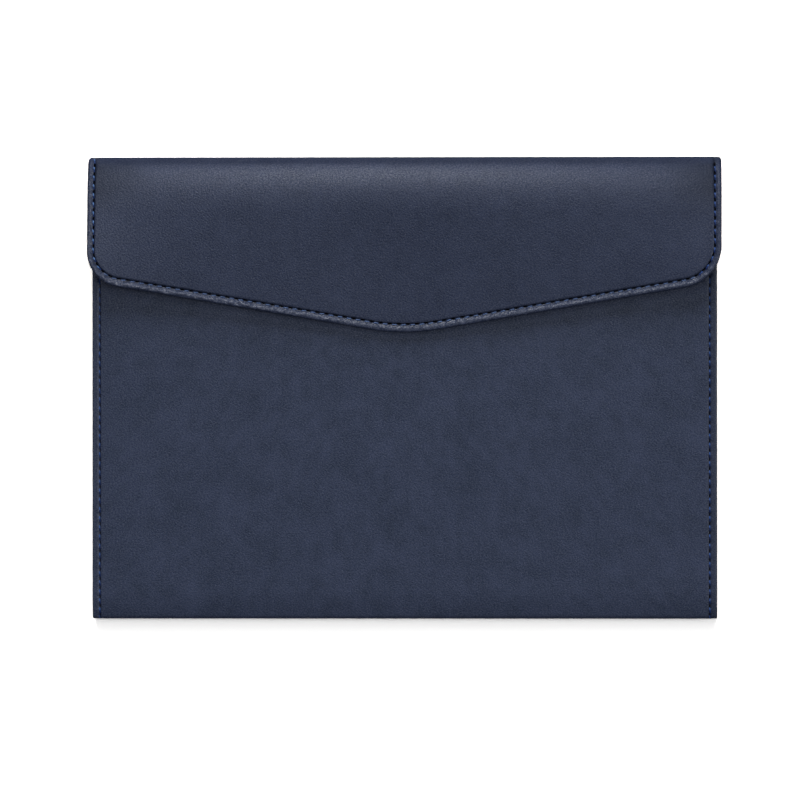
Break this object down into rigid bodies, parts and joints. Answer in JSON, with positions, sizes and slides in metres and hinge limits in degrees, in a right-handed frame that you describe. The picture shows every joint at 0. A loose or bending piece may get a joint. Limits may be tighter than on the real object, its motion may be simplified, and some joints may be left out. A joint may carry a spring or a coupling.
{
  "type": "tablet sleeve",
  "caption": "Slim leather envelope sleeve for a tablet, with a padded pocket, side gussets and a fold-over flap with a shallow pointed edge and a hidden magnetic closure.",
  "frame": {"origin": "middle of the bounding box, at its bottom, in the plane of the back face that the sleeve lies on", "axes": "+X across the width, +Y from the bottom fold up to the top edge, +Z from the back to the flap"},
  "size_m": [0.28, 0.204, 0.0158],
  "materials": {
    "leather": "satin",
    "padding": "matte",
    "board": "matte",
    "lining": "matte",
    "thread": "satin",
    "magnet": "satin"
  },
  "bodies": {
    "sleeve": {"outer_wrap": "leather", "pocket_lining": "lining", "front_padding": "padding", "back_padding": "padding", "left_gusset": "leather", "right_gusset": "leather", "left_seam_stitches": "thread", "right_seam_stitches": "thread", "mouth_stitches": "thread", "front_magnet_left": "magnet", "front_magnet_right": "magnet"},
    "spine": {"back_crease": "leather", "back_crease_lining": "lining", "spine_leather": "leather", "spine_board": "board", "spine_lining": "lining"},
    "flap": {"flap_crease": "leather", "flap_crease_lining": "lining", "flap_leather": "leather", "flap_board": "board", "flap_lining": "lining", "flap_stitches": "thread", "flap_magnet_left": "magnet", "flap_magnet_right": "magnet"}
  },
  "joints": [
    {"name": "spine_fold", "type": "hinge", "parent": "sleeve", "child": "spine", "pos_m": [0, 0.10079, 0.00121], "axis": [-1, 0, 0], "range_deg": [0, 90], "deforming": ["back_crease", "back_crease_lining"]},
    {"name": "flap_fold", "type": "hinge", "parent": "spine", "child": "flap", "pos_m": [0, 0.10098, 0.01202], "axis": [-1, 0, 0], "range_deg": [0, 78], "deforming": ["flap_crease", "flap_crease_lining"]}
  ]
}
